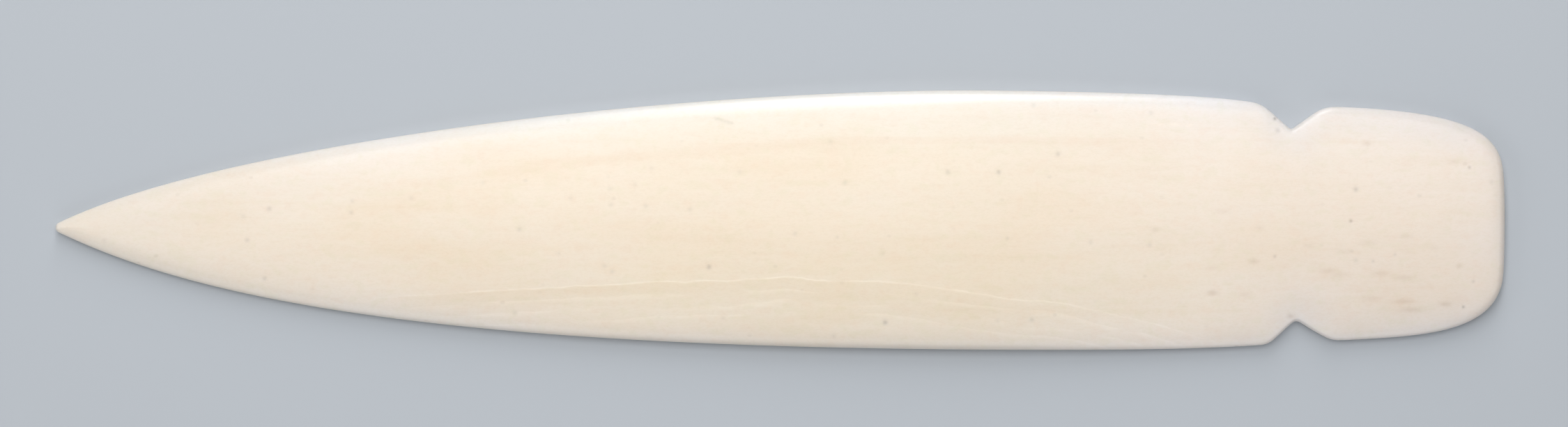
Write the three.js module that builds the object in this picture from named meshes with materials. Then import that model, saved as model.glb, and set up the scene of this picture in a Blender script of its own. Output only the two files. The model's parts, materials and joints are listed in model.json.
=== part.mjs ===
// A bone folder for creasing paper and card: one slip of polished bone, with a pointed blade for the creases, a V
// notch filed into each long edge, and a rounded head beyond the notches.
//
// Millimetres. +X runs from the tip to the butt, +Y across the blade, and +Z up from the flat back that it lies on.
// The origin is under the middle of the overall length and width.

import * as THREE from "three";
import { LoftGeometry } from "three/addons/geometries/LoftGeometry.js";

// Sizes in plan
const LENGTH = 152; // tip to butt
const BLADE_WIDTH = 27.3; // across the widest part, belly to belly
const NOSE_RADIUS = 0.6; // of the blunted point
const NOSE_DROP = 0.78; // how far the point lies off the long axis, towards -Y
const BUTT_BULGE = 0.11; // how far the middle of the butt stands out past its ends

// The two long edges are worked by hand and differ a little. Each runs from the nose out to the belly, in to the
// shoulder, down into the notch, up to the head, and round the head's corner to the butt.
const UPPER_EDGE = {
  side: 1, // +Y
  tipAngle: 26.8, // degrees between the edge and the long axis, where it leaves the nose
  tipPull: 0.18, // how far each end of the curve from nose to belly keeps its direction, as a share of its reach
  bellyPull: 0.352,
  bellyToShoulder: 30.3,
  shoulderDrop: 1.36, // from the belly in to the shoulder's corner
  shoulderAngle: 9.6, // degrees, as tipAngle
  bellyRelease: 0.01, // the same shares, for the curve from belly to shoulder
  shoulderPull: 0.2,
  shoulderCut: 1.1, // how far the corner's rounding reaches to each side of it
  notchFromButt: 22.44,
  notchDepth: 2.82, // from the shoulder's corner in to the bottom of the V
  bladeFlank: 3.15, // along X, from the bottom of the V back to the shoulder's corner
  headFlank: 3.5, // along X, from the bottom of the V on to the head's corner
  bottomCut: 0.38,
  kneeFromBottom: 1, // along X, to where the file was turned a little
  kneeStand: 0, // how far the knee stands out past a straight flank
  headDrop: 1.67, // from the belly in to the head's corner
  headCut: 1.3,
  headAngle: 2.2,
  headPull: 0.8,
  cornerPull: 0.615, // as a share of the corner's reach along Y
  endReach: 4.6, // from the long axis to this end of the butt
};
const LOWER_EDGE = {
  side: -1,
  tipAngle: 26.2,
  tipPull: 0.185,
  bellyPull: 0.535,
  bellyToShoulder: 22.15,
  shoulderDrop: 0.53,
  shoulderAngle: 3.7,
  bellyRelease: 0.18,
  shoulderPull: 0.34,
  shoulderCut: 0.8,
  notchFromButt: 21.89,
  notchDepth: 2.74,
  bladeFlank: 2.96,
  headFlank: 3.79,
  bottomCut: 0.7,
  kneeFromBottom: 0.94,
  kneeStand: 0.19,
  headDrop: 0.95,
  headCut: 0.9,
  headAngle: 3.2,
  headPull: 0.46,
  cornerPull: 0.945,
  endReach: 5.3,
};

// Sizes through the thickness
const THICKNESS = 3.5; // on the long axis, at the thickest place
const THICKEST_FROM_BUTT = 60;
const TIP_HEIGHT = 1.45; // of the top above the plane that the back lies on
const TIP_TAPER = 1.3; // the power of the fall to the tip: above 1, the top stays high for longer
const HEAD_HEIGHT = 2.3;
const HEAD_FROM_BUTT = 13; // from here to the butt the top is level, and the neck before it is dished
const CROWN_RADIUS = 110; // across the top, which was the outside of the bone
const TIP_LIFT = 0.45; // how far the back has risen off its plane at the tip
const TIP_LIFT_LENGTH = 42;
const BUTT_LIFT = 0.25;
const BUTT_LIFT_LENGTH = 18;
const EDGE_SHARE = 0.42; // height of the edge's outermost line, as a share of the thickness there

// How wide the top is rounded down to the edge, and the back up to it
const BLADE_ROUND = 1.5;
const HEAD_ROUND = 1.1;
const NOTCH_ROUND = 0.45;
const BACK_ROUND = 0.9; // and no wider than the top's
const WEAR = 1.3; // added to the +Y edge's rounding, where years of creasing have worn it down
const WEAR_FROM_BUTT = 77;
const WEAR_REACH = 36; // to each side of that

// Steps of the skin
const LONG_STEPS = 44; // from nose to shoulder
const NOSE_STEPS = 4;
const FLANK_STEPS = 3;
const CUT_STEPS = 4;
const HEAD_STEPS = 16;
const BUTT_STEPS = 3;
const ROUNDING_STEPS = 4;
const TOP_STEPS = 4; // from the end of the rounding to the spine
const BACK_STEPS = 2;
const LARGEST_REACH = 0.6; // of the rounding, as a share of the way to the spine

const TIP_X = -LENGTH / 2;
const BUTT_X = LENGTH / 2;

// The spine is the line under the middle of the blade where the skin's two halves meet
const SPINE_FROM_TIP = 3;
const SPINE_FROM_BUTT = 9.5;
const SPINE_START = new THREE.Vector3(TIP_X + SPINE_FROM_TIP, -NOSE_DROP, 0);
const SPINE_END = new THREE.Vector3(BUTT_X - SPINE_FROM_BUTT, 0, 0);

// The direction that falls towards the long axis at an angle in degrees, or rises from it where that is negative
function falling(degrees) {
  const angle = THREE.MathUtils.degToRad(degrees);
  return new THREE.Vector2(Math.cos(angle), -Math.sin(angle));
}

// The place at a distance from one point along the straight line to another
function towards(from, to, distance) {
  return to.clone().sub(from).setLength(distance).add(from);
}

// A rounded corner between two straight lines, which begins and ends at one distance from the corner
function roundedCorner(before, corner, after, cut) {
  return new THREE.QuadraticBezierCurve(towards(corner, before, cut), corner, towards(corner, after, cut));
}

// The corners that one edge is drawn through, with y measured from the long axis out to that edge
function cornersOf(edge) {
  const bellyY = BLADE_WIDTH / 2;
  const bottomX = BUTT_X - edge.notchFromButt;
  const shoulder = new THREE.Vector2(bottomX - edge.bladeFlank, bellyY - edge.shoulderDrop);
  const bottom = new THREE.Vector2(bottomX, shoulder.y - edge.notchDepth);
  const head = new THREE.Vector2(bottomX + edge.headFlank, bellyY - edge.headDrop);
  const knee = bottom.clone().lerp(head, edge.kneeFromBottom / edge.headFlank);
  knee.y += edge.kneeStand;
  const belly = new THREE.Vector2(shoulder.x - edge.bellyToShoulder, bellyY);
  const end = new THREE.Vector2(BUTT_X - BUTT_BULGE, edge.endReach);
  return { belly, shoulder, bottom, knee, head, end };
}

// The quarter circle, or a little less, from the middle of the nose to where the edge leaves it
function noseCurve(edge) {
  const centreX = TIP_X + NOSE_RADIUS;
  const centreY = -NOSE_DROP * edge.side;
  const leaves = Math.PI / 2 + THREE.MathUtils.degToRad(edge.tipAngle);
  return new THREE.EllipseCurve(centreX, centreY, NOSE_RADIUS, NOSE_RADIUS, Math.PI, leaves, true);
}

// From the nose out to the belly and in to the shoulder's rounding
function bladeCurve(edge, nose, belly, shoulder) {
  const outwards = (belly.x - nose.x) * edge.tipPull;
  const toBelly = (belly.x - nose.x) * edge.bellyPull;
  const inwards = falling(edge.shoulderAngle);
  const release = edge.bellyToShoulder * edge.bellyRelease;
  const arrival = edge.bellyToShoulder * edge.shoulderPull;
  const start = shoulder.clone().addScaledVector(inwards, -edge.shoulderCut);
  const blade = new THREE.CurvePath();
  blade.add(
    new THREE.CubicBezierCurve(
      nose,
      nose.clone().addScaledVector(falling(-edge.tipAngle), outwards),
      new THREE.Vector2(belly.x - toBelly, belly.y),
      belly,
    ),
  );
  blade.add(
    new THREE.CubicBezierCurve(
      belly,
      new THREE.Vector2(belly.x + release, belly.y),
      start.clone().addScaledVector(inwards, -arrival),
      start,
    ),
  );
  return blade;
}

// From the head's rounded corner, along the head and round to the butt
function headCurve(edge, head, end) {
  const inwards = falling(edge.headAngle);
  const start = head.clone().addScaledVector(inwards, edge.headCut);
  return new THREE.CubicBezierCurve(
    start,
    start.clone().addScaledVector(inwards, (end.x - start.x) * edge.headPull),
    new THREE.Vector2(end.x, end.y + (start.y - end.y) * edge.cornerPull),
    end,
  );
}

// One edge from the middle of the nose to the middle of the butt: each curve with the number of its steps, and the
// width of the top's rounding where it ends
function stretchesOf(edge) {
  const { belly, shoulder, bottom, knee, head, end } = cornersOf(edge);
  const nose = noseCurve(edge);
  const blade = bladeCurve(edge, nose.getPoint(1), belly, shoulder);
  const along = head.clone().add(falling(edge.headAngle));
  const shoulderRounding = roundedCorner(blade.getPoint(1), shoulder, bottom, edge.shoulderCut);
  const bottomRounding = roundedCorner(shoulder, bottom, knee, edge.bottomCut);
  const headRounding = roundedCorner(knee, head, along, edge.headCut);
  const bladeFlank = new THREE.LineCurve(shoulderRounding.v2, bottomRounding.v0);
  const headFlank = new THREE.QuadraticBezierCurve(bottomRounding.v2, knee, headRounding.v0);
  const middle = new THREE.Vector2(BUTT_X, 0);
  const butt = new THREE.QuadraticBezierCurve(end, new THREE.Vector2(BUTT_X, end.y / 2), middle);
  return [
    { curve: nose, steps: NOSE_STEPS, round: BLADE_ROUND },
    { curve: blade, steps: LONG_STEPS, round: BLADE_ROUND },
    { curve: shoulderRounding, steps: CUT_STEPS, round: NOTCH_ROUND },
    { curve: bladeFlank, steps: FLANK_STEPS, round: NOTCH_ROUND },
    { curve: bottomRounding, steps: CUT_STEPS, round: NOTCH_ROUND },
    { curve: headFlank, steps: FLANK_STEPS, round: NOTCH_ROUND },
    { curve: headRounding, steps: CUT_STEPS, round: HEAD_ROUND },
    { curve: headCurve(edge, head, end), steps: HEAD_STEPS, round: HEAD_ROUND },
    { curve: butt, steps: BUTT_STEPS, round: HEAD_ROUND },
  ];
}

// A hump that is 1 in the middle and runs out smoothly at its reach
function hump(distance, reach) {
  return Math.abs(distance) < reach ? Math.cos(((Math.PI / 2) * distance) / reach) ** 2 : 0;
}

// The points along one edge, each with its rounding's width
function pointsOf(edge) {
  const points = [];
  let roundBefore = BLADE_ROUND;
  for (const { curve, steps, round } of stretchesOf(edge)) {
    curve.getSpacedPoints(steps).forEach((at, i) => {
      if (i === 0 && points.length > 0) return;
      const worn = edge.side > 0 ? WEAR * hump(at.x - (BUTT_X - WEAR_FROM_BUTT), WEAR_REACH) : 0;
      const width = THREE.MathUtils.lerp(roundBefore, round, i / steps) + worn;
      points.push({ at: new THREE.Vector3(at.x, at.y * edge.side, 0), round: width });
    });
    roundBefore = round;
  }
  return points;
}

// The whole outline, counterclockwise from the nose. The two edges have as many points as each other, and each pair
// shares the foot on the spine that the skin runs to.
function outlineOf(lower, upper) {
  lower.forEach((point, i) => {
    const x = THREE.MathUtils.clamp((point.at.x + upper[i].at.x) / 2, SPINE_START.x, SPINE_END.x);
    const share = (x - SPINE_START.x) / (SPINE_END.x - SPINE_START.x);
    point.foot = SPINE_START.clone().lerp(SPINE_END, share);
    upper[i].foot = point.foot;
  });
  return [...lower, ...upper.slice(1, -1).reverse()];
}

// How far a point lies inside the outline, and the rounding's width at the edge nearest to it
function nearestEdge(point, outline) {
  const line = new THREE.Line3();
  const closest = new THREE.Vector3();
  const nearest = { distance: Infinity, round: BLADE_ROUND };
  outline.forEach((from, i) => {
    const to = outline[(i + 1) % outline.length];
    const share = line.set(from.at, to.at).closestPointToPointParameter(point, true);
    const distance = line.at(share, closest).distanceTo(point);
    if (distance >= nearest.distance) return;
    nearest.distance = distance;
    nearest.round = THREE.MathUtils.lerp(from.round, to.round, share);
  });
  return nearest;
}

// A quarter of an ellipse, from 0 at the edge to 1 where the rounding ends
function rounded(share) {
  return share < 1 ? Math.sqrt(1 - (1 - share) ** 2) : 1;
}

// The top's height: it falls from the thickest place to the tip and to the head, and from the long axis to each side
function topHeight(x, y) {
  const thickestX = BUTT_X - THICKEST_FROM_BUTT;
  const tipShare = Math.max(0, (thickestX - x) / (thickestX - TIP_X));
  const headShare = THREE.MathUtils.smoothstep(x, thickestX, BUTT_X - HEAD_FROM_BUTT);
  const fall = (THICKNESS - TIP_HEIGHT) * tipShare ** TIP_TAPER + (THICKNESS - HEAD_HEIGHT) * headShare;
  return THICKNESS - fall - y ** 2 / (2 * CROWN_RADIUS);
}

// The back's height, which is 0 but near the two ends
function backHeight(x) {
  const tipShare = Math.max(0, 1 - (x - TIP_X) / TIP_LIFT_LENGTH);
  const buttShare = Math.max(0, 1 - (BUTT_X - x) / BUTT_LIFT_LENGTH);
  return TIP_LIFT * tipShare ** 2 + BUTT_LIFT * buttShare ** 2;
}

// The height of the edge's outermost line
function edgeHeight(x) {
  return THREE.MathUtils.lerp(backHeight(x), topHeight(x, 0), EDGE_SHARE);
}

// One ring of the skin round the whole outline. At step 0 it is the edge itself; over the rounding's steps it goes in
// by that rounding's width, and over the inner steps on to the spine.
function ringOf(outline, step, innerSteps, widthOf, heightOf) {
  return outline.map(({ at, foot, round }) => {
    const way = at.distanceTo(foot);
    const reach = Math.min(widthOf(round), LARGEST_REACH * way);
    const turned = Math.min(1, step / ROUNDING_STEPS) * (Math.PI / 2);
    const inner = Math.max(0, step - ROUNDING_STEPS) / innerSteps;
    const depth = reach * (1 - Math.cos(turned)) + (way - reach) * inner;
    const point = at.clone().lerp(foot, depth / way);
    const nearest = nearestEdge(point, outline);
    const edge = edgeHeight(point.x);
    point.z = edge + (heightOf(point) - edge) * rounded(nearest.distance / widthOf(nearest.round));
    return point;
  });
}

// The rings from the back's spine out to the edge, and on over the top to the spine again
function ringsOf(outline) {
  const backWidth = (round) => Math.min(round, BACK_ROUND);
  const back = [];
  for (let step = ROUNDING_STEPS + BACK_STEPS; step > 0; step--) {
    back.push(ringOf(outline, step, BACK_STEPS, backWidth, (point) => backHeight(point.x)));
  }
  const top = [];
  for (let step = 0; step <= ROUNDING_STEPS + TOP_STEPS; step++) {
    top.push(ringOf(outline, step, TOP_STEPS, (round) => round, (point) => topHeight(point.x, point.y)));
  }
  return [...back, ...top];
}

// The blade. Its skin is closed where the rings of the top and of the back each fold together on the spine.
function boneBlade() {
  const outline = outlineOf(pointsOf(LOWER_EDGE), pointsOf(UPPER_EDGE));
  const polishedBone = new THREE.MeshStandardMaterial({ color: 0xf1e4cf, roughness: 0.35, metalness: 0 });
  const blade = new THREE.Mesh(new LoftGeometry(ringsOf(outline)), polishedBone);
  blade.name = "bone_blade";
  return blade;
}

const group = new THREE.Group();
group.add(boneBlade());

export default group;
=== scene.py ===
import json
import math
from bisect import bisect_right

import bpy
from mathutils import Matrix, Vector, kdtree, noise

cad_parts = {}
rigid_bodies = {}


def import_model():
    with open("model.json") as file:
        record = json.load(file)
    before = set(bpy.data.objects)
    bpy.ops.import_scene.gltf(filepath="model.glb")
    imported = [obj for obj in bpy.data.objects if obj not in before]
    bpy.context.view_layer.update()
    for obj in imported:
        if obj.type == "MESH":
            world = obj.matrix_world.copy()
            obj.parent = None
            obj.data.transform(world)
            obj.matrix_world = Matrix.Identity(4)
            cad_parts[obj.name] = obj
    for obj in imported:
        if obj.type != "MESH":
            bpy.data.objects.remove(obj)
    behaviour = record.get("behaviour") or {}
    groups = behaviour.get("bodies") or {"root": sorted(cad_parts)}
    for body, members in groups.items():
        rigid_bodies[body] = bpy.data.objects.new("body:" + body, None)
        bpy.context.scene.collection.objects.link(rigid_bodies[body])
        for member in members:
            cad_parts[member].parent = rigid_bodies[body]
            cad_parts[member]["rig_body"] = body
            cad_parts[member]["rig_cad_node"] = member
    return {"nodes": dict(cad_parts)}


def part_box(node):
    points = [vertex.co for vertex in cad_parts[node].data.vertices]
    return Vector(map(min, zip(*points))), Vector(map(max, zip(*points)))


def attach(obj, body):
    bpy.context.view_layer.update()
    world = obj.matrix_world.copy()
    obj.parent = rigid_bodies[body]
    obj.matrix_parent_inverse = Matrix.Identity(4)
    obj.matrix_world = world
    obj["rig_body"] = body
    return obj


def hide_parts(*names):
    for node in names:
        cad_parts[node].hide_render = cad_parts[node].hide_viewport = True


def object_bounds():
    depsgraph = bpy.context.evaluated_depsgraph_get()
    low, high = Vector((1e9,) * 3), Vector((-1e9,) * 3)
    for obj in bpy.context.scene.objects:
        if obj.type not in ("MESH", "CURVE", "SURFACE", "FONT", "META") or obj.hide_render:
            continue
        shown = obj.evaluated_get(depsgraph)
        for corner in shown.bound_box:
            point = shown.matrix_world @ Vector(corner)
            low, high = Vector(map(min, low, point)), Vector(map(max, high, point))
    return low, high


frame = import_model()
cadLow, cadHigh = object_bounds()
mm = 0.001
bladeLow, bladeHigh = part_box("bone_blade")
bladeMiddle = (bladeLow + bladeHigh) / 2
bladeLength = bladeHigh.x - bladeLow.x
bladeThickness = bladeHigh.z - bladeLow.z


# Camera: straight overhead, far enough off that the ends don't lean
camera = {
    "lens": 85,
    "filmWidth": 36,
    "viewPerLength": 1.0804,  # width of the view over the length of the folder
    "sharpHeight": 0.4,  # height of the plane that the view is measured in, over the thickness
    "besideMiddle": (0.43 * mm, 0.69 * mm),
    "seenFrom": 0.01,  # nothing nearer than this is drawn, and nothing past the next
    "seenTo": 20,
}


def setCamera():
    data = bpy.data.cameras.new("overheadCamera")
    data.lens = camera["lens"]
    data.sensor_width = camera["filmWidth"]
    data.clip_start = camera["seenFrom"]
    data.clip_end = camera["seenTo"]
    holder = bpy.data.objects.new("overheadCamera", data)
    bpy.context.scene.collection.objects.link(holder)
    viewWidth = bladeLength * camera["viewPerLength"]
    distance = viewWidth * camera["lens"] / camera["filmWidth"]
    aside, above = camera["besideMiddle"]
    holder.location = (
        bladeMiddle.x + aside,
        bladeMiddle.y + above,
        bladeLow.z + bladeThickness * camera["sharpHeight"] + distance,
    )
    bpy.context.scene.camera = holder
    print("camera set", round(distance, 4), "m above the folder")


# Shader maths: a wire is one output of a node, and sums of wires make Math nodes
class Wire:
    def __init__(self, tree, socket=None):
        self.tree = tree
        self.socket = socket

    def node(self, kind, settings=None, values=None, output=0):
        made = self.tree.nodes.new(kind)
        for name, setting in (settings or {}).items():
            if name == "stops":
                ramp = made.color_ramp.elements
                while len(ramp) < len(setting):
                    ramp.new(1.0)
                for stop, (position, colour) in zip(ramp, setting):
                    stop.position = position
                    stop.color = (*colour, 1)
            else:
                setattr(made, name, setting)
        for name, value in (values or {}).items():
            if isinstance(value, Wire):
                self.tree.links.new(value.socket, made.inputs[name])
            else:
                made.inputs[name].default_value = value
        return Wire(self.tree, made.outputs[output])

    def also(self, output):  # another output of the same node
        return Wire(self.tree, self.socket.node.outputs[output])

    def maths(self, operation, first, second=0.0):
        return self.node("ShaderNodeMath", {"operation": operation}, {0: first, 1: second})

    def __add__(self, other):
        return self.maths("ADD", self, other)

    def __radd__(self, other):
        return self.maths("ADD", other, self)

    def __sub__(self, other):
        return self.maths("SUBTRACT", self, other)

    def __rsub__(self, other):
        return self.maths("SUBTRACT", other, self)

    def __mul__(self, other):
        return self.maths("MULTIPLY", self, other)

    def __rmul__(self, other):
        return self.maths("MULTIPLY", other, self)

    def __truediv__(self, other):
        return self.maths("DIVIDE", self, other)

    def rise(self, start, full):  # 0 up to start, 1 from full on, eased between
        settings = {"interpolation_type": "SMOOTHSTEP"}
        return self.node("ShaderNodeMapRange", settings, {"Value": self, "From Min": start, "From Max": full})

    def stained(self, mask, tint):  # a colour turned towards itself times the tint where the mask is
        settings = {"data_type": "RGBA", "blend_type": "MULTIPLY", "clamp_factor": True}
        return self.node("ShaderNodeMix", settings, {0: mask, 6: self, 7: (*tint, 1)}, output=2)

    def stretched(self, along, across, through):  # metres to steps of these lengths in millimetres
        steps = (1 / (along * mm), 1 / (across * mm), 1 / (through * mm))
        return self.node("ShaderNodeVectorMath", {"operation": "MULTIPLY"}, {0: self, 1: steps})

    def cloudy(self, detail):
        return self.node("ShaderNodeTexNoise", None, {"Vector": self, "Scale": 1.0, "Detail": detail})

    def spotted(self):  # how far off the nearest of some scattered points is
        return self.node("ShaderNodeTexVoronoi", {"feature": "F1"}, {"Vector": self, "Scale": 1.0})


def newMaterial(name):
    material = bpy.data.materials.new(name)
    material.use_nodes = True
    shader = material.node_tree.nodes["Principled BSDF"]
    return material, shader, Wire(material.node_tree)


# Light: an overhead box, a tall key lamp beyond the upper edge, a wide low fill opposite, a lamp off each
# end, and a pale room
studio = {
    "lamps": {  # degrees round from +Y, degrees up, metres off, width, height, watts
        "overheadBox": (0, 76, 0.45, 0.32, 0.26, 0.96),
        "keyLamp": (2, 32, 0.45, 0.15, 0.38, 1.12),
        "fillLamp": (180, 27, 0.45, 0.58, 0.38, 0.68),
        "pointLamp": (270, 34, 0.45, 0.34, 0.26, 0.33),
        "buttLamp": (90, 40, 0.45, 0.34, 0.20, 0.12),
    },
    "roomColour": (0.80, 0.84, 0.88),
    "roomLight": 0.03,  # what the room itself sheds on the folder
    "floorColour": (0.54, 0.577, 0.62),
    "floorRoughness": 0.9,
    "floorSeen": (0.50, 0.53, 0.57),  # colour that the lit floor shows, kept to the horizon
    "floorEven": (0.085, 0.19),  # metres out over which the lamps' light on it gives way to that colour
    "floorReach": 3.0,
    "floorGap": 0.03 * mm,
}


def addLamp(name, bearing, height, distance, width, depth, watts):
    data = bpy.data.lights.new(name, "AREA")
    data.shape = "RECTANGLE"
    data.size = width
    data.size_y = depth
    data.energy = watts
    lamp = bpy.data.objects.new(name, data)
    bpy.context.scene.collection.objects.link(lamp)
    turn, tilt = math.radians(bearing), math.radians(height)
    away = Vector((math.sin(turn) * math.cos(tilt), math.cos(turn) * math.cos(tilt), math.sin(tilt)))
    lamp.location = away * distance
    lamp.rotation_euler = (-away).to_track_quat("-Z", "Y").to_euler()
    lamp.visible_camera = False


def seenDirectly(wire):  # 1 for what is seen, even in a gloss or through glass, and 0 for light that is shed
    straight = wire.node("ShaderNodeLightPath", output="Is Camera Ray")
    mirrored = wire.maths("MAXIMUM", straight.also("Is Glossy Ray"), straight.also("Is Transmission Ray"))
    return wire.maths("MAXIMUM", straight, mirrored)


def setStudio():
    scene = bpy.context.scene
    scene.view_settings.view_transform = "Standard"
    for name, settings in studio["lamps"].items():
        addLamp(name, *settings)
    room = bpy.data.worlds.new("paleRoom")
    scene.world = room
    room.use_nodes = True
    tree = room.node_tree
    wire = Wire(tree)
    background = tree.nodes["Background"]
    background.inputs["Color"].default_value = (*studio["roomColour"], 1)
    background.inputs["Strength"].default_value = studio["roomLight"]
    shed = Wire(tree, background.outputs[0])
    shown = wire.node("ShaderNodeBackground", None, {"Color": (*studio["floorSeen"], 1), "Strength": 1.0})
    both = wire.node("ShaderNodeMixShader", None, {0: seenDirectly(wire), 1: shed, 2: shown})
    tree.links.new(both.socket, tree.nodes["World Output"].inputs["Surface"])


def addFloor():
    bpy.ops.object.select_all(action="DESELECT")
    reach = studio["floorReach"]
    bpy.ops.mesh.primitive_plane_add(size=2 * reach, location=(0, 0, cadLow.z - studio["floorGap"]))
    floor = bpy.context.active_object
    floor.name = "studio_floor"
    bpy.ops.object.transform_apply(location=True, rotation=True, scale=True)
    material, shader, wire = newMaterial("palePaper")
    shader.inputs["Base Color"].default_value = (*studio["floorColour"], 1)
    shader.inputs["Roughness"].default_value = studio["floorRoughness"]
    lit = Wire(wire.tree, shader.outputs[0])
    place = wire.node("ShaderNodeTexCoord", output="Object")
    away = wire.node("ShaderNodeVectorMath", {"operation": "LENGTH"}, {0: place}, output="Value")
    even = away.rise(*studio["floorEven"]) * seenDirectly(wire)
    shown = wire.node("ShaderNodeEmission", None, {"Color": (*studio["floorSeen"], 1), "Strength": 1.0})
    both = wire.node("ShaderNodeMixShader", None, {0: even, 1: lit, 2: shown})
    wire.tree.links.new(both.socket, wire.tree.nodes["Material Output"].inputs["Surface"])
    floor.data.materials.append(material)
    print("studio set")


setCamera()
setStudio()
addFloor()


def selectOnly(piece):
    bpy.ops.object.select_all(action="DESELECT")
    piece.select_set(True)
    bpy.context.view_layer.objects.active = piece


def inEditMode(piece, steps):
    selectOnly(piece)
    bpy.ops.object.mode_set(mode="EDIT")
    steps()
    bpy.ops.object.mode_set(mode="OBJECT")


def selectFaces(piece, wanted):
    mesh = piece.data
    mesh.vertices.foreach_set("select", [False] * len(mesh.vertices))
    mesh.edges.foreach_set("select", [False] * len(mesh.edges))
    mesh.polygons.foreach_set("select", [wanted(face) for face in mesh.polygons])


def roundOff(piece):
    selectOnly(piece)
    rounding = piece.modifiers.new("rounding", "SUBSURF")
    rounding.levels = 1
    rounding.render_levels = 1
    bpy.ops.object.modifier_apply(modifier=rounding.name)


def planOf(point):  # its place seen from above, in millimetres
    return Vector((point.x / mm, point.y / mm, 0))


def nearTree(points):  # finds which point lies nearest in plan
    tree = kdtree.KDTree(len(points))
    for index, point in enumerate(points):
        tree.insert((point[0], point[1], 0), index)
    tree.balance()
    return tree


def between(first, last, share):
    return first[0] + (last[0] - first[0]) * share, first[1] + (last[1] - first[1]) * share


def easeIn(value, start, full):
    share = min(1.0, max(0.0, (value - start) / (full - start)))
    return share * share * (3 - 2 * share)


def waver(x, y, level=0.0):
    return noise.noise(Vector((x, y, level)))


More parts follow.
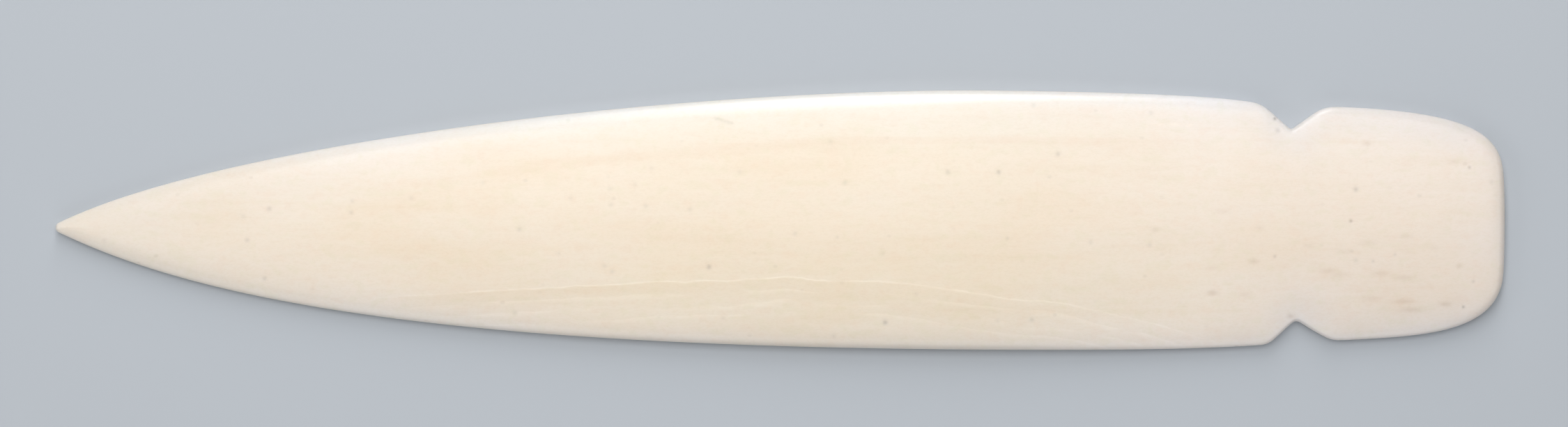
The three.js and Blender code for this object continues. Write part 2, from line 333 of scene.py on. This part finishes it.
# What years of growth and of use have left in the bone. Lengths are millimetres, and a place is so far along
# and across from the middle of the folder. Waves are counted in a millimetre, and the number after them
# varies them. The upward share of the normal is 1 where the surface lies level and faces up
grown = {
    "pores": [  # place and strength
        (-53.4, 1.2, 0.16), (-44.8, 0.8, 0.12), (-56.1, 0.4, 0.07), (-55.7, -2.1, 0.14), (-53.9, -6.1, 0.14),
        (-70.7, -2.1, 0.07), (-31.0, 3.9, 0.06), (-27.2, -1.0, 0.12), (-21.8, 2.3, 0.07), (-17.7, 3.3, 0.07),
        (-17.6, 1.6, 0.09), (-14.0, 1.5, 0.09), (-13.4, 5.4, 0.06), (-9.4, 1.1, 0.09), (-4.2, 5.0, 0.07),
        (-7.4, -4.9, 0.22), (11.0, -10.7, 0.28), (17.5, 5.0, 0.14), (22.8, 5.0, 0.18), (1.6, -1.4, 0.10),
        (5.3, 8.2, 0.07), (6.8, 3.9, 0.10), (10.7, -3.5, 0.07), (-17.5, -5.4, 0.10), (-27.7, -9.7, 0.10),
        (-5.9, -10.2, 0.07), (22.7, -10.5, 0.07), (26.3, -10.4, 0.14), (14.2, -7.7, 0.07), (32.4, -2.3, 0.09),
        (38.6, -2.6, 0.10), (52.1, 9.4, 0.15), (60.2, 3.2, 0.19), (60.2, -4.2, 0.09), (53.3, -10.0, 0.09),
        (29.0, 6.9, 0.15), (38.8, 11.2, 0.09), (74.4, 4.0, 0.09), (26.5, 12.0, 0.08), (5.6, -12.1, 0.09),
        (-44.7, 2.0, 0.09), (-38.5, 2.3, 0.08), (-18.3, -4.8, 0.08), (-15.1, 3.7, 0.07), (-23.1, -3.5, 0.07),
    ],
    "dots": [  # small and dark: place and strength
        (51.8, 10.6, 0.43), (59.7, -0.1, 0.25), (72.1, 5.5, 0.18), (51.7, -3.8, 0.18), (64.3, -3.6, 0.12),
        (62.0, -4.3, 0.14), (72.5, -6.4, 0.15), (71.5, -9.1, 0.30), (23.7, -1.9, 0.12), (6.0, -1.8, 0.09),
    ],
    "flecks": [  # brown, along the grain: place, length and strength
        (61.4, 8.0, 0.7, 0.14), (70.4, 6.1, 1.0, 0.09), (46.2, 0.9, 1.3, 0.08), (39.1, -1.0, 0.7, 0.12),
        (50.1, -0.8, 0.7, 0.09), (59.0, -3.3, 1.6, 0.06), (65.4, -1.7, 1.2, 0.09), (61.4, -2.4, 1.5, 0.08),
        (49.5, -4.3, 0.8, 0.15), (45.1, -5.0, 0.9, 0.08), (57.3, -5.3, 1.3, 0.12), (58.4, -5.7, 1.8, 0.08),
        (62.8, -5.6, 1.5, 0.11), (65.2, -6.0, 1.6, 0.12), (71.0, -4.8, 0.5, 0.14), (45.2, -7.6, 0.9, 0.22),
        (48.6, -7.8, 0.9, 0.09), (53.5, -10.1, 0.7, 0.17), (61.8, -8.2, 1.5, 0.08), (65.2, -8.5, 1.7, 0.14),
        (66.0, -9.4, 1.9, 0.14), (69.6, -8.8, 1.1, 0.17), (55.2, -2.7, 0.9, 0.08), (68.4, -2.9, 1.0, 0.06),
    ],
    "flakes": [  # pale, and given as the flecks are
        (39.7, 10.0, 0.6, 0.05), (41.2, 10.0, 0.8, 0.06), (42.8, 9.9, 0.6, 0.05),
    ],
    "stains": [  # soft tan patches: place, length, width and strength
        (27, 5.0, 17, 6, 0.55), (37.5, 7.0, 9, 4, 0.55), (62, 1.5, 9, 5, 0.55), (24, -2, 9, 5, 0.25),
        (-9, -2.5, 16, 5, 0.35), (30, -5.5, 9, 2.2, 0.35), (-58, 1.5, 7, 4, 0.25), (44, 3.5, 6, 5, 0.3),
        (57.4, -5.6, 3.2, 1.5, 0.5), (63.2, -5.6, 3.6, 1.6, 0.6), (64.8, -8.9, 3.4, 1.6, 0.8),
        (61.4, -8.2, 2.6, 1.2, 0.4), (70.0, -8.2, 2.4, 1.2, 0.5), (66.4, -3.0, 3.0, 1.4, 0.35),
        (70.5, 6.5, 3.0, 1.2, 0.4), (61.4, 8.0, 2.0, 1.0, 0.35),
    ],
    "poreAcross": 0.42,  # widths where a mark has half its strength
    "dotAcross": 0.28,
    "fleckAcross": 0.46,
    "flakeAcross": 0.24,
    "poreDepth": 0.08,  # for each unit of strength
    "markEnd": 3,  # nothing of a mark is left past this many of its half lengths
    "markUneven": (0.4, 3, 5, 5.0),  # height, waves along and across, and a number
    "layerEdge": [  # where the cut runs out of one layer of bone into the next
        (-46, -8.6), (-40, -8.05), (-29.6, -7.4), (-22, -7.0), (-12.7, -6.5), (-5, -6.35), (0.7, -5.95),
        (5.2, -6.4), (12, -6.5), (18.7, -7.4), (24, -8.3), (29.3, -8.7), (33, -9.5), (36.6, -10.3),
        (39.5, -11.0), (44, -12.4),
    ],
    "layerSteps": 16,  # from each of those points to the next
    "layerWavers": [(0.12, 0.45, 3.1), (0.06, 1.9, 7.7)],  # height, waves along, and a number
    "layerSeen": (-47, -31, 37, 48),  # along: starts, is at its plainest between these two, and is gone
    "layerOnTop": (0.2, 0.7),  # upward share of the normal where it starts to show, and is in full
    "layerDepths": (-3.0, 6.0),  # depths below the edge are told apart only between these
    "layerStep": 0.012,
    "layerUneven": (0.6, 0.4, 2.0),  # height, waves along, and a number
    "layerBlend": 0.07,
    "layerFade": 2.2,
    "scratch": [(-6.75, 10.62), (-5.05, 10.12)],
    "scratchAcross": 0.32,
    "scratchStrength": 0.13,
    "scratchUneven": (0.75, 0.5, 4),  # mean, height, and waves either way
    "edgeNicks": [(-21.6, 11.3), (-47.7, -8.8), (-13.6, -12.5), (40.4, 13.1), (67.0, 11.2)],
    "nickAcross": 0.5,
    "nickDepth": 0.04,
    "scrapedDepth": 0.010,  # the long shallow waves that scraping leaves
    "scrapedWaves": [(1.0, 26, 4.5, 0), (0.4, 9, 1.8, 40)],  # share, length, width, and a number
    "scrapedThrough": 3,
    "filedFromRoot": (3.4, 4.4),  # from the root of a notch: the file marks start to fade, and are gone
    "filedFromRim": (0.3, 0.9),  # the same, in from the outline
    "sideFrom": (0.45, 0.8),  # how far off level the surface is where a side starts, and is in full
    "backFrom": (0.6, 0.95),  # downward share of the normal where the back starts, and is in full
}


def layerLine():
    line = []
    steps = grown["layerSteps"]
    for before, after in zip(grown["layerEdge"], grown["layerEdge"][1:]):
        for step in range(steps):
            x, y = between(before, after, step / steps)
            for height, waves, vary in grown["layerWavers"]:
                y += height * waver(x * waves, vary)
            line.append((x, y))
    return line


def busyPlaces(line):  # where the mesh has to be fine
    places = [mark[:2] for kind in ("pores", "dots") for mark in grown[kind]]
    for x, y, length, strength in grown["flecks"] + grown["flakes"]:
        places += [(x - length / 3, y), (x, y), (x + length / 3, y)]
    places += [between(*grown["scratch"], share) for share in (0, 0.33, 0.67, 1)]
    return places + line + grown["edgeNicks"]


mergeWithin = 0.001 * mm
quadAngle = math.radians(60)  # triangles that turn less than this from each other are joined in pairs
refineWithin = (1.0, 0.6, 0.36)  # millimetres from a busy place: once between the two roundings, twice after
faceUp = 0.05  # least upward share of the normal on the face
rimUp = 0.2  # most of the normal's upward or downward share on the outline
rimSteps = 4  # from each vertex of the outline to the next
notchesWithin = (0.25, 0.42)  # how far past the middle the notches lie, by share of the length


def copyOfBlade():
    node = frame["nodes"]["bone_blade"]
    piece = node.copy()
    piece.data = node.data.copy()
    piece.name = "bone_folder"
    piece.parent = None
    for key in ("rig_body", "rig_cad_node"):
        del piece[key]
    bpy.context.scene.collection.objects.link(piece)
    piece.data.materials.clear()

    def mend():
        bpy.ops.mesh.select_all(action="SELECT")
        bpy.ops.mesh.remove_doubles(threshold=mergeWithin)
        bpy.ops.mesh.tris_convert_to_quads(face_threshold=quadAngle, shape_threshold=quadAngle)

    inEditMode(piece, mend)
    print("copied", len(piece.data.vertices), "vertices", len(piece.data.polygons), "faces")
    return piece


def refine(piece, tree, reach):
    def close(face):
        return face.normal.z > faceUp and tree.find(planOf(face.center))[2] < reach

    selectFaces(piece, close)
    inEditMode(piece, lambda: bpy.ops.mesh.subdivide(number_cuts=1))
    print("refined within", reach, "mm:", len(piece.data.polygons), "faces")


def outlinePoints(piece):
    mesh = piece.data
    onRim = [abs(vertex.normal.z) < rimUp for vertex in mesh.vertices]
    points = []
    for edge in mesh.edges:
        first, last = edge.vertices
        if onRim[first] and onRim[last]:
            start, end = planOf(mesh.vertices[first].co), planOf(mesh.vertices[last].co)
            points += [start.lerp(end, step / rimSteps) for step in range(rimSteps)]
    return points


def notchRoots(points):
    middle = planOf(bladeMiddle)
    length = bladeLength / mm
    nearest, farthest = notchesWithin
    waist = [point for point in points if nearest < (point.x - middle.x) / length < farthest]
    upper = min((point for point in waist if point.y > middle.y), key=lambda point: point.y)
    lower = max((point for point in waist if point.y < middle.y), key=lambda point: point.y)
    return [upper, lower]


class Marks:  # the strength of each kind of mark at every vertex, and how far the vertex is pressed in
    def __init__(self, piece):
        self.mesh = piece.data
        count = len(self.mesh.vertices)
        kinds = (
            "pore", "fleck", "flake", "stain", "scratch",
            "layerDepth", "layerSeen", "rim", "filed", "side", "back",
        )
        self.fields = {kind: [0.0] * count for kind in kinds}
        self.pressed = [0.0] * count
        self.top = kdtree.KDTree(count)
        for vertex in self.mesh.vertices:
            if vertex.normal.z > 0:
                self.top.insert(planOf(vertex.co), vertex.index)
        self.top.balance()

    def dab(self, kind, x, y, length, width, strength, depth=0.0):
        field = self.fields[kind]
        halfLength, halfWidth = length / 2, width / 2
        height, wavesAlong, wavesAcross, vary = grown["markUneven"]
        reach = grown["markEnd"] * max(halfLength, halfWidth)
        for place, index, distance in self.top.find_range((x, y, 0), reach):
            uneven = 1 + height * waver(place.x * wavesAlong, place.y * wavesAcross, vary)
            out = ((place.x - x) / halfLength) ** 2 + ((place.y - y) / halfWidth) ** 2
            share = 0.5 ** (out * uneven)
            field[index] = max(field[index], strength * share)
            self.pressed[index] = max(self.pressed[index], depth * share)

    def addSpots(self):
        for kind, across in (("pores", grown["poreAcross"]), ("dots", grown["dotAcross"])):
            for x, y, strength in grown[kind]:
                self.dab("pore", x, y, across, across, strength, grown["poreDepth"] * strength)
        for x, y, length, strength in grown["flecks"]:
            self.dab("fleck", x, y, length, grown["fleckAcross"], strength)
        for x, y, length, strength in grown["flakes"]:
            self.dab("flake", x, y, length, grown["flakeAcross"], strength)
        for x, y, length, width, strength in grown["stains"]:
            self.dab("stain", x, y, length, width, strength)
        for x, y in grown["edgeNicks"]:  # a dent with no colour of its own
            self.dab("scratch", x, y, grown["nickAcross"], grown["nickAcross"], 0.0, grown["nickDepth"])

    def addScratch(self):
        first, last = (Vector((*end, 0)) for end in grown["scratch"])
        along = last - first
        field = self.fields["scratch"]
        half = grown["scratchAcross"] / 2
        mean, height, waves = grown["scratchUneven"]
        for place, index, distance in self.top.find_range((first + last) / 2, along.length):
            share = min(1.0, max(0.0, (place - first).dot(along) / along.length_squared))
            out = (place - first - along * share).length / half
            uneven = mean + height * waver(place.x * waves, place.y * waves)
            field[index] = grown["scratchStrength"] * 0.5 ** (out * out) * uneven
            self.pressed[index] += grown["poreDepth"] * field[index]

    def addLayers(self, line):
        starts = [x for x, y in line]
        begins, plain, plainEnd, gone = grown["layerSeen"]
        least, most = grown["layerDepths"]
        height, waves, vary = grown["layerUneven"]
        for vertex in self.mesh.vertices:
            place = planOf(vertex.co)
            index = min(len(line) - 2, max(0, bisect_right(starts, place.x) - 1))
            (x0, y0), (x1, y1) = line[index], line[index + 1]
            lineY = y0 + (y1 - y0) * (place.x - x0) / (x1 - x0)
            depth = min(most, max(least, lineY - place.y))
            seen = easeIn(place.x, begins, plain) * (1 - easeIn(place.x, plainEnd, gone))
            seen *= easeIn(vertex.normal.z, *grown["layerOnTop"])
            self.fields["layerDepth"][vertex.index] = depth
            self.fields["layerSeen"][vertex.index] = seen
            stepped = easeIn(depth, -grown["layerBlend"], grown["layerBlend"])
            stepped *= 1 - easeIn(depth, 0, grown["layerFade"])
            stepped *= height + height * waver(place.x * waves, vary)
            self.pressed[vertex.index] -= grown["layerStep"] * stepped * seen

    def addRim(self, points):
        outline = nearTree(points)
        roots = notchRoots(points)
        for vertex in self.mesh.vertices:
            place = planOf(vertex.co)
            rim = outline.find(place)[2]
            fromRoot = min((place - root).length for root in roots)
            filed = 1 - easeIn(fromRoot, *grown["filedFromRoot"])
            filed *= 1 - easeIn(rim, *grown["filedFromRim"])
            self.fields["rim"][vertex.index] = rim
            self.fields["filed"][vertex.index] = filed
            self.fields["side"][vertex.index] = easeIn(1 - abs(vertex.normal.z), *grown["sideFrom"])
            self.fields["back"][vertex.index] = easeIn(-vertex.normal.z, *grown["backFrom"])

    def addScraping(self):
        for vertex in self.mesh.vertices:
            x, y, z = vertex.co / mm
            for share, length, width, vary in grown["scrapedWaves"]:
                wave = waver(x / length, y / width + vary, z / grown["scrapedThrough"])
                self.pressed[vertex.index] += grown["scrapedDepth"] * share * wave

    def press(self):
        places = []
        for vertex in self.mesh.vertices:
            places.extend(vertex.co - vertex.normal * self.pressed[vertex.index] * mm)
        self.mesh.vertices.foreach_set("co", places)
        self.mesh.update()
        for name, values in self.fields.items():
            layer = self.mesh.attributes.new(name, "FLOAT", "POINT")
            layer.data.foreach_set("value", values)


folder = copyOfBlade()
layerEdge = layerLine()
busy = nearTree(busyPlaces(layerEdge))
widest, *finer = refineWithin
roundOff(folder)
refine(folder, busy, widest)
roundOff(folder)
for reach in finer:
    refine(folder, busy, reach)
marks = Marks(folder)
marks.addSpots()
marks.addScratch()
marks.addLayers(layerEdge)
marks.addRim(outlinePoints(folder))
marks.addScraping()
marks.press()
selectOnly(folder)
bpy.ops.object.shade_smooth()
print("folder worn:", len(folder.data.vertices), "vertices")


# The polished bone. A pattern or a tint shows where everything listed for it shows. A listed thing stands
# alone, or with the value where it starts to show and the one where it is in full. "along" is a share of
# the length from the point. "across", from the middle, "rim", in from the outline, and "layerDepth" are
# millimetres
polish = {
    "ground": [  # the bone's own colours from the point to the butt, by share of the length
        (0.06, (0.922, 0.808, 0.681)), (0.20, (0.924, 0.802, 0.660)), (0.42, (0.906, 0.770, 0.598)),
        (0.64, (0.892, 0.766, 0.607)), (0.80, (0.916, 0.800, 0.678)), (0.93, (0.891, 0.775, 0.658)),
    ],
    "groundWaver": 0.1,
    "noises": {  # steps along, across and through, in millimetres, and detail
        "clouds": (16, 7, 7, 2),
        "streaks": (22, 1.7, 1.7, 2),
        "fibres": (2.4, 0.42, 0.42, 3),
        "grain": (0.36, 0.18, 0.18, 1),
        "mottle": (1.6, 1.1, 1.1, 1),
        "lipBreaks": (5, 3, 3, 2),
        "ridgeBreaks": (7, 1.2, 2, 2),
        "sideGrain": (7, 0.6, 0.2, 3),
        "backGrain": (4.5, 0.55, 0.9, 3),
        "fileGrain": (0.35, 0.35, 2.5, 2),
    },
    "canalStep": (2.4, 1.8, 1.8),
    "endPoreStep": (2.0, 0.42, 0.42),
    "bandWaver": 1.6,
    "toothStep": 1.15,
    "toothWaver": {"streaks": 1.2, "fibres": 0.25},
    "rimFade": 2.3,
    "rimAtEnds": 0.4,  # share of the rim's wear and painted sheen that is left at the point and at the butt's end
    "rimFromEnds": [(0.04, 0.35), (1.0, 0.965)],  # along: where there starts to be more, and where it is full
    "patterns": {
        "flat": [("rim", 0.3, 3.2)],  # all but the rounding of the edges, which wears the grain away
        "blade": [("along", 0.86, 0.78)],
        "faceFibres": [("fibres",), ("flat",)],
        "faceGrain": [("grain",), ("flat",)],
        "canals": [("canal", 0.15, 0.05), ("canalChance", 0.3, 0.9)],  # where a canal comes to the surface
        "sideLines": [("sideGrain", 0.46, 0.70), ("side",)],
        "endPores": [("endPore", 0.24, 0.12), ("side",), ("along", 0.985, 0.993)],  # in the butt
        "marrow": [("backGrain", 0.55, 0.68), ("clouds", 0.36, 0.56), ("back",), ("rim", 1.5, 4.5)],
        "fileMarks": [("fileGrain",), ("filed",)],
    },
    "tints": {  # what the colour is multiplied by, and where
        "warm": [(0.995, 0.975, 0.940), ("clouds", 0.50, 0.72)],
        "pale": [(1.000, 1.008, 1.030), ("clouds", 0.50, 0.30)],
        "streak": [(0.986, 0.978, 0.959), ("streaks", 0.46, 0.74), ("flat",)],
        "fibre": [(0.987, 0.981, 0.969), ("fibres", 0.42, 0.74), ("flat",)],
        "grain": [(0.978, 0.972, 0.958), ("grain", 0.40, 0.75)],
        "rosy": [(0.994, 0.977, 0.966), ("mottle", 0.52, 0.74)],
        "green": [(0.978, 0.986, 0.960), ("mottle", 0.48, 0.28)],
        # painted light: the upper part of the face is made whiter, standing in for the key lamp's stronger
        # light there
        "paintedLightAbove": [
            (0.995, 1.025, 1.060), ("across", 6, 10), ("along", 0.22, 0.36), ("along", 0.80, 0.55), ("top",),
        ],
        # painted highlight: the rounding of the upper edge is whitened where the key lamp's highlight falls
        "paintedHighlightUpperEdge": [(0.995, 1.035, 1.075), ("across", 4, 8), ("rim", 2.2, 0.4), ("blade",), ("top",)],
        "dullerMiddle": [
            (0.978, 0.982, 0.982), ("across", -1, 3), ("along", 0.32, 0.45), ("along", 0.80, 0.66), ("flat",),
        ],
        # painted fill light: the lower part of the face is made paler in place of more light from the fill
        # lamp
        "paintedFillBelow": [
            (1.024, 1.040, 1.058), ("across", -1.5, -6), ("along", 0.28, 0.42), ("blade",), ("flat",),
        ],
        # painted shade: the rims at the point's lower edge and round the head are darkened where the light
        # falls off the rounding
        "pointEdgeShade": [(0.966, 0.975, 0.980), ("along", 0.36, 0.26), ("across", -1, -4), ("rim", 4.0, 1.5)],
        "headEdgeShade": [(0.966, 0.975, 0.980), ("along", 0.76, 0.84), ("along", 0.985, 0.96), ("rim", 4.0, 1.5)],
        "canal": [(0.925, 0.920, 0.910), ("canals",)],
        "tanBand": [
            (0.985, 0.965, 0.945), ("band", 4.4, 4.9), ("band", 6.0, 5.4), ("across", 1, 3),
            ("along", 0.16, 0.38), ("along", 0.82, 0.68),
        ],
        "layers": [
            (0.972, 0.960, 0.930), ("layerDepth", -0.03, 0.05), ("layerDepth", 2.0, 0.1), ("layerSeen",),
            ("along", 0.70, 0.46),
        ],
        "layerLip": [
            (1.055, 1.060, 1.080), ("layerDepth", -0.20, -0.06), ("layerDepth", 0.04, -0.03), ("layerSeen",),
            ("lipBreaks", 0.38, 0.56),
        ],
        "layerTeeth": [
            (1.045, 1.050, 1.065), ("tooth", 0.0, 0.08), ("tooth", 0.55, 0.08), ("layerDepth", 0.5, 1.2),
            ("layerDepth", 5.5, 3.0), ("layerSeen",), ("ridgeBreaks", 0.38, 0.60),
        ],
        "sideLine": [(0.950, 0.935, 0.905), ("sideLines",)],
        "endPore": [(0.76, 0.70, 0.62), ("endPores",)],
        "marrow": [(0.915, 0.880, 0.815), ("marrow",)],
        # painted sheen: the rim is made paler and cooler, partly for wear and partly for light through the
        # thin edge and off its rounding
        "rimWearAndSheen": [(0.955, 1.020, 1.160), ("rimWearAndSheen",)],
        "pore": [(0.0, 0.0, 0.0), ("pore",)],
        "stain": [(0.985, 0.962, 0.925), ("stain",)],
        "fleck": [(0.35, 0.17, 0.0), ("fleck",)],
        "flake": [(2.0, 2.0, 2.0), ("flake",)],
        "scratch": [(0.0, 0.05, 0.0), ("scratch",)],
    },
    "roughness": 0.31,
    "rougher": {  # added to the roughness where the thing is
        "clouds": 0.03,
        "faceFibres": 0.03,
        "flat": -0.015,  # so that the fibres leave the mean as it is
        "nearRim": -0.02,
        "pore": 0.8,
        "scratch": 0.8,
        "filed": 0.12,
    },
    "relief": {  # heights in millimetres
        "faceFibres": 0.0006,
        "faceGrain": 0.0002,
        "fileMarks": 0.015,
        "canals": -0.002,
        "sideLines": -0.003,
        "endPores": -0.008,
        "marrow": -0.006,
    },
    "indexOfRefraction": 1.55,
    "gloss": 0.80,
    "lightInside": 0.5,
    "lightReach": (1.25, 1.15, 1.10),
}


def overlap(measures, listed):
    shown = [measures[name].rise(*limits) if limits else measures[name] for name, *limits in listed]
    return math.prod(shown[1:], start=shown[0])


def total(measures, amounts):
    return sum(measures[name] * amount for name, amount in amounts.items())


def boneMeasures(wire):  # what a place on the bone is judged by. The noises are about 0.5 in the middle
    place = wire.node("ShaderNodeTexCoord", output="Object")
    axes = wire.node("ShaderNodeSeparateXYZ", None, {0: place})
    measures = {"along": (axes - bladeLow.x) / bladeLength, "across": (axes.also("Y") - bladeMiddle.y) / mm}
    for kind in marks.fields:
        measures[kind] = wire.node("ShaderNodeAttribute", {"attribute_name": kind}, output="Fac")
    measures["top"] = 1 - measures["side"]
    for name, (along, across, through, detail) in polish["noises"].items():
        measures[name] = place.stretched(along, across, through).cloudy(detail)
    measures["canal"] = place.stretched(*polish["canalStep"]).spotted()
    measures["canalChance"] = wire.node("ShaderNodeSeparateColor", None, {0: measures["canal"].also("Color")})
    measures["endPore"] = place.stretched(*polish["endPoreStep"]).spotted()

    # the tan band and the layers' teeth wander with the grain
    measures["band"] = measures["rim"] + (measures["streaks"] - 0.5) * polish["bandWaver"]
    wandering = sum((measures[name] - 0.5) * amount for name, amount in polish["toothWaver"].items())
    measures["tooth"] = wire.maths("FRACT", (measures["layerDepth"] + wandering) / polish["toothStep"])

    # the pale, cool rim, partly wear and partly painted sheen of light through and off the thin edge, fades
    # inwards, and is weaker at both ends
    measures["nearRim"] = wire.maths("EXPONENT", measures["rim"] / -polish["rimFade"])
    worn = measures["nearRim"]
    weak = polish["rimAtEnds"]
    for start, full in polish["rimFromEnds"]:
        worn = worn * (weak + (1 - weak) * measures["along"].rise(start, full))
    measures["rimWearAndSheen"] = worn
    for name, listed in polish["patterns"].items():
        measures[name] = overlap(measures, listed)
    return measures


def boneMaterial():
    material, shader, wire = newMaterial("polishedBone")
    measures = boneMeasures(wire)
    wandering = measures["along"] + (measures["clouds"] - 0.5) * polish["groundWaver"]
    colour = wire.node("ShaderNodeValToRGB", {"stops": polish["ground"]}, {0: wandering})
    for tint, *listed in polish["tints"].values():
        colour = colour.stained(overlap(measures, listed), tint)
    wire.tree.links.new(colour.socket, shader.inputs["Base Color"])
    roughness = polish["roughness"] + total(measures, polish["rougher"])
    wire.tree.links.new(roughness.socket, shader.inputs["Roughness"])
    relief = {"Height": total(measures, polish["relief"]), "Distance": mm, "Strength": 1.0}
    bump = wire.node("ShaderNodeBump", None, relief)
    wire.tree.links.new(bump.socket, shader.inputs["Normal"])
    shader.inputs["IOR"].default_value = polish["indexOfRefraction"]
    shader.inputs["Specular IOR Level"].default_value = polish["gloss"]
    shader.inputs["Subsurface Weight"].default_value = polish["lightInside"]
    shader.inputs["Subsurface Radius"].default_value = polish["lightReach"]
    shader.inputs["Subsurface Scale"].default_value = mm
    return material


folder.data.materials.append(boneMaterial())
print("bone finished")

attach(folder, "root")
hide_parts("bone_blade")
